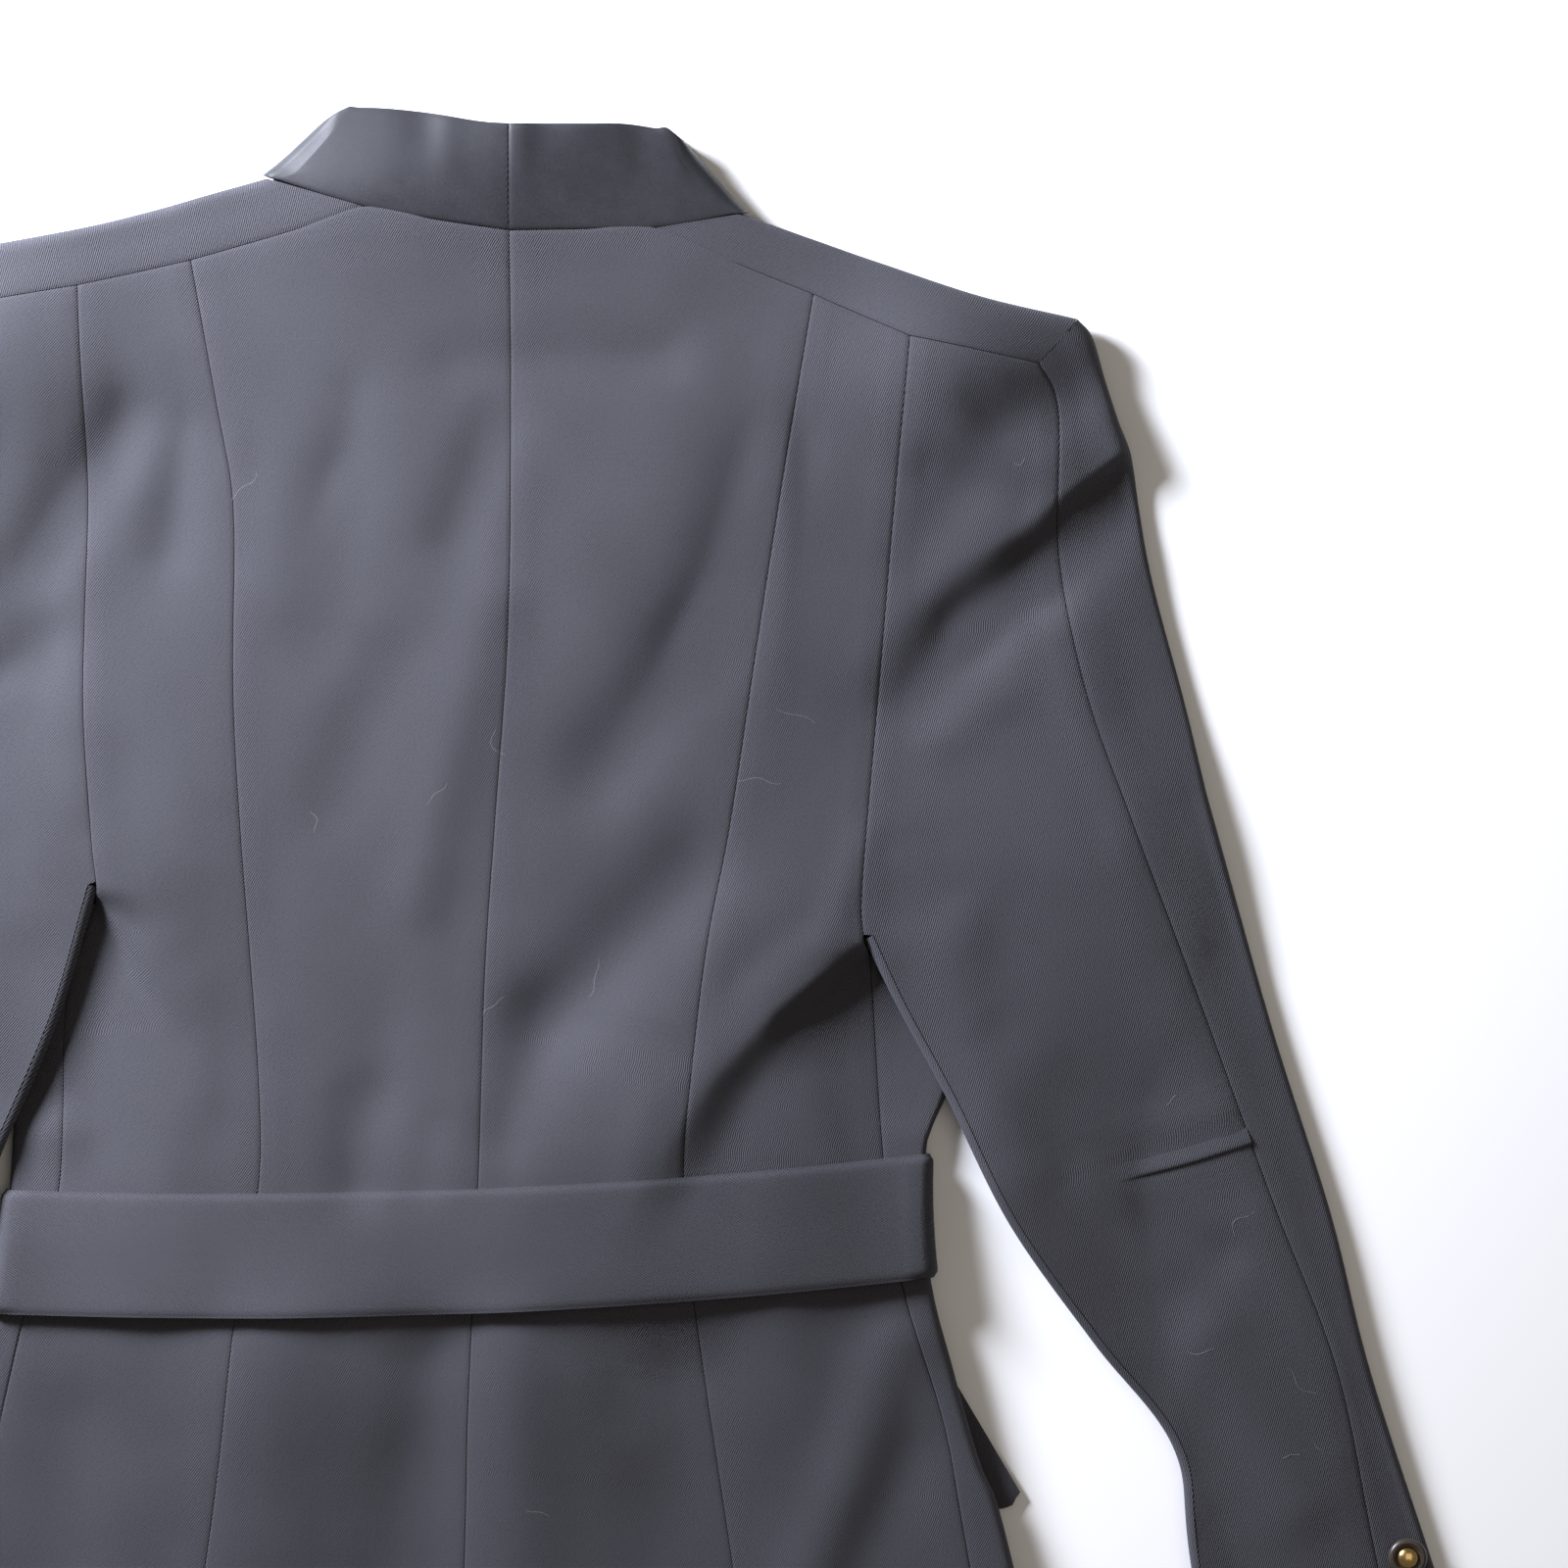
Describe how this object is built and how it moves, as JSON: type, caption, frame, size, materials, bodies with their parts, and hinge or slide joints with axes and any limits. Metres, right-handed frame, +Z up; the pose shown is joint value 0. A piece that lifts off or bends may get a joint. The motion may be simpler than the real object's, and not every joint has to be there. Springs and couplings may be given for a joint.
{
  "type": "double-breasted belted blazer",
  "caption": "Dark wool twill blazer with a satin collar, seamed back, two-piece sleeves and a wide cloth belt, laid face down and flat.",
  "frame": {"origin": "middle of the bounding box on the surface that the garment lies on", "axes": "+Z up from the surface to the garment's back, +Y towards the collar, +X towards the wearer's right sleeve"},
  "size_m": [0.7188, 0.741, 0.0174],
  "materials": {
    "twill": "matt fine diagonal wool twill",
    "satin": "smooth satin with a soft sheen",
    "button": "dark rim with a polished gold dome"
  },
  "bodies": {
    "root": {"centre_back_left": "twill", "centre_back_right": "twill", "side_back_left": "twill", "side_back_right": "twill", "side_panel_left": "twill", "side_panel_right": "twill", "yoke_left": "twill", "yoke_right": "twill", "under_sleeve_left": "twill", "under_sleeve_right": "twill", "top_sleeve_left": "twill", "top_sleeve_right": "twill", "front_left": "twill", "front_right": "twill", "pocket_flap_left": "twill", "pocket_flap_right": "twill", "collar_left": "satin", "collar_right": "satin", "lapel_left": "satin", "lapel_right": "satin", "belt": "twill", "buckle": "twill", "cuff_button_left_1": "button", "cuff_button_left_2": "button", "cuff_button_left_3": "button", "cuff_button_right_1": "button", "cuff_button_right_2": "button", "cuff_button_right_3": "button", "front_button_left_1": "button", "front_button_left_2": "button", "front_button_left_3": "button", "front_button_right_1": "button", "front_button_right_2": "button", "front_button_right_3": "button"}
  },
  "joints": []
}
